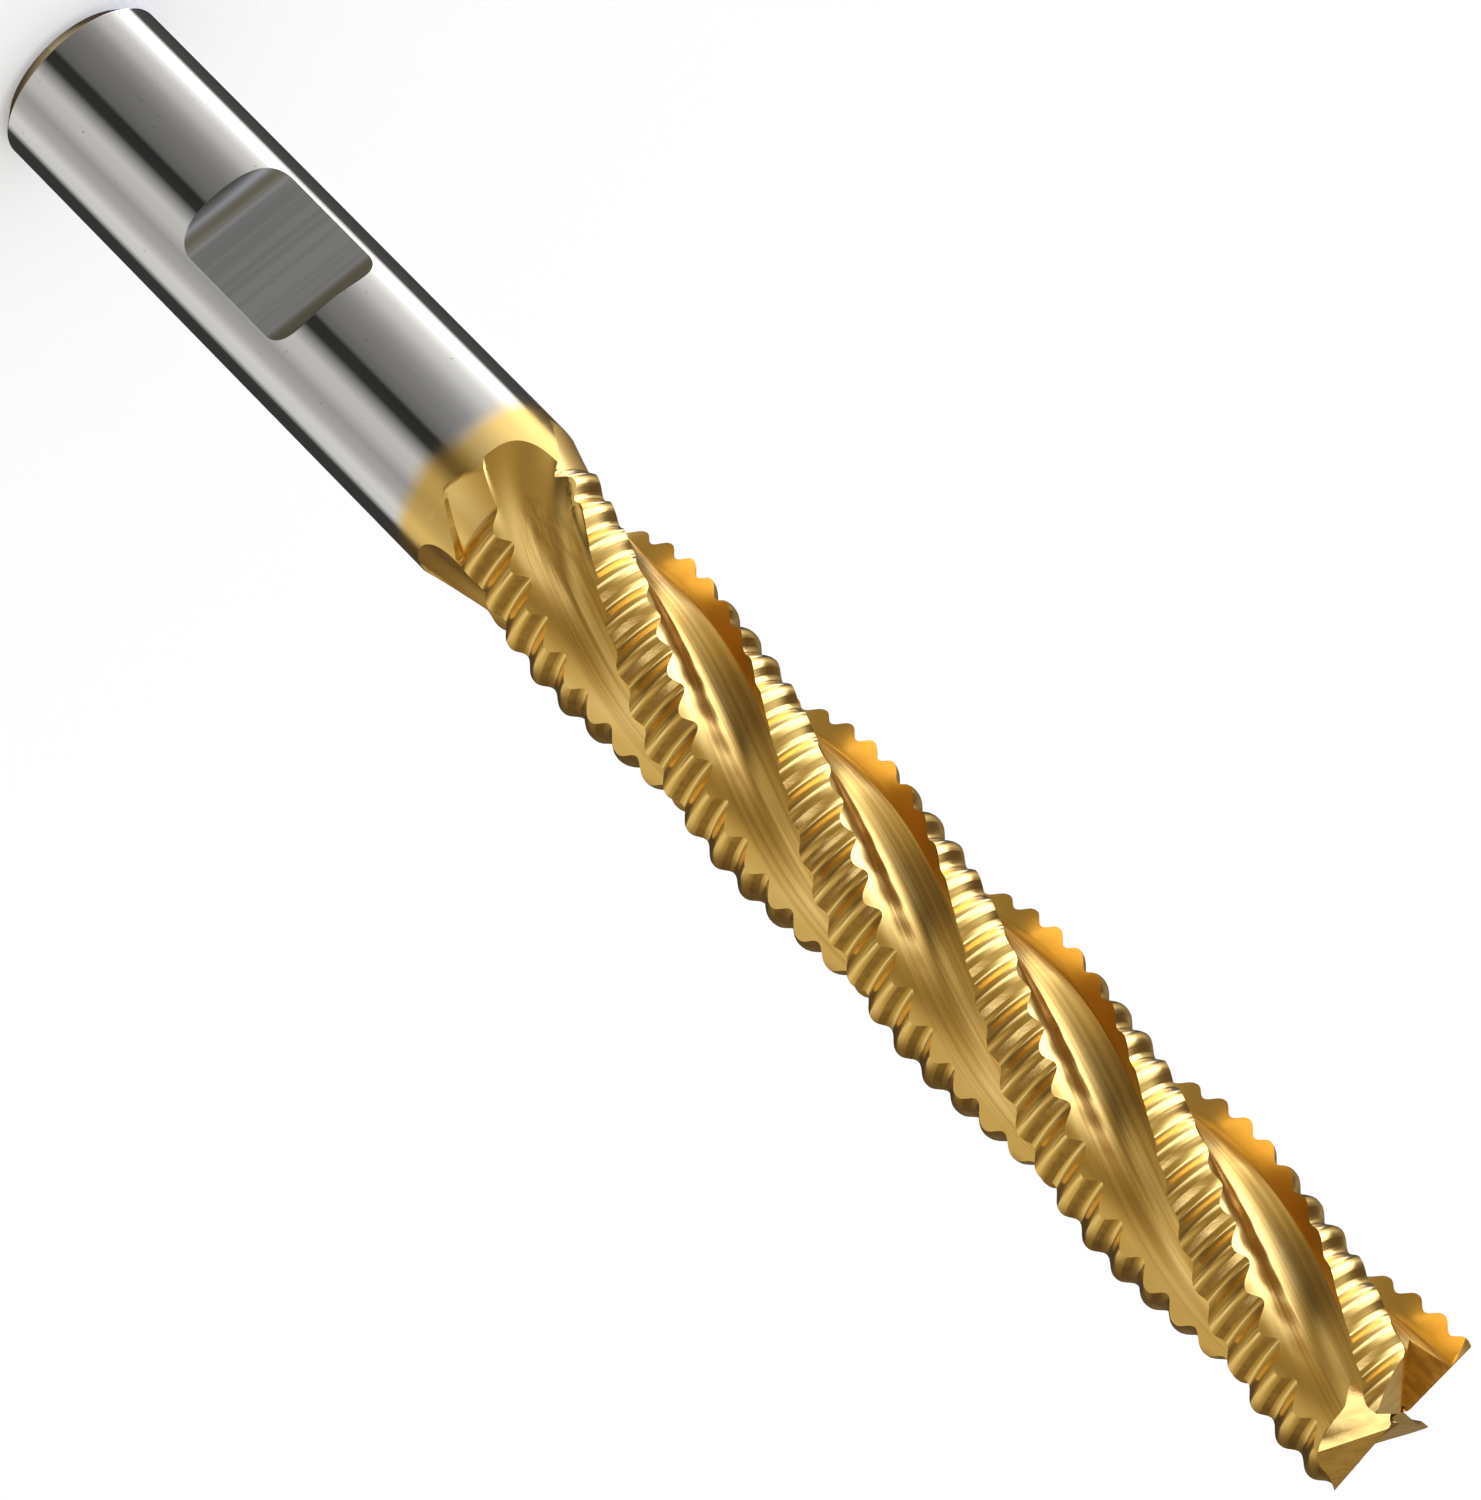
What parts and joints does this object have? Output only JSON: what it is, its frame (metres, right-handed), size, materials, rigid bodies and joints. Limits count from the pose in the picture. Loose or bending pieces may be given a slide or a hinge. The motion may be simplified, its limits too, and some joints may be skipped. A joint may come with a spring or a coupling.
{
  "type": "end mill",
  "caption": "Long roughing end mill with helical teeth carrying rounded chip breakers and a round shank with a side-lock flat.",
  "frame": {"origin": "centre of the shank's rear face", "axes": "+Z along the tool's axis towards the cutting tip, -Y out of the side-lock flat"},
  "size_m": [0.0126, 0.0126, 0.127],
  "materials": {
    "ground_steel": "cylindrically ground, near mirror",
    "gold_coating": "ground tool steel with a thin gold-coloured hard coating"
  },
  "bodies": {
    "root": {"shank": "ground_steel", "neck": "gold_coating", "core": "gold_coating", "tooth_1": "gold_coating", "tooth_2": "gold_coating", "tooth_3": "gold_coating", "tooth_4": "gold_coating", "end_tooth_1": "gold_coating", "end_tooth_2": "gold_coating", "end_tooth_3": "gold_coating", "end_tooth_4": "gold_coating"}
  },
  "joints": []
}
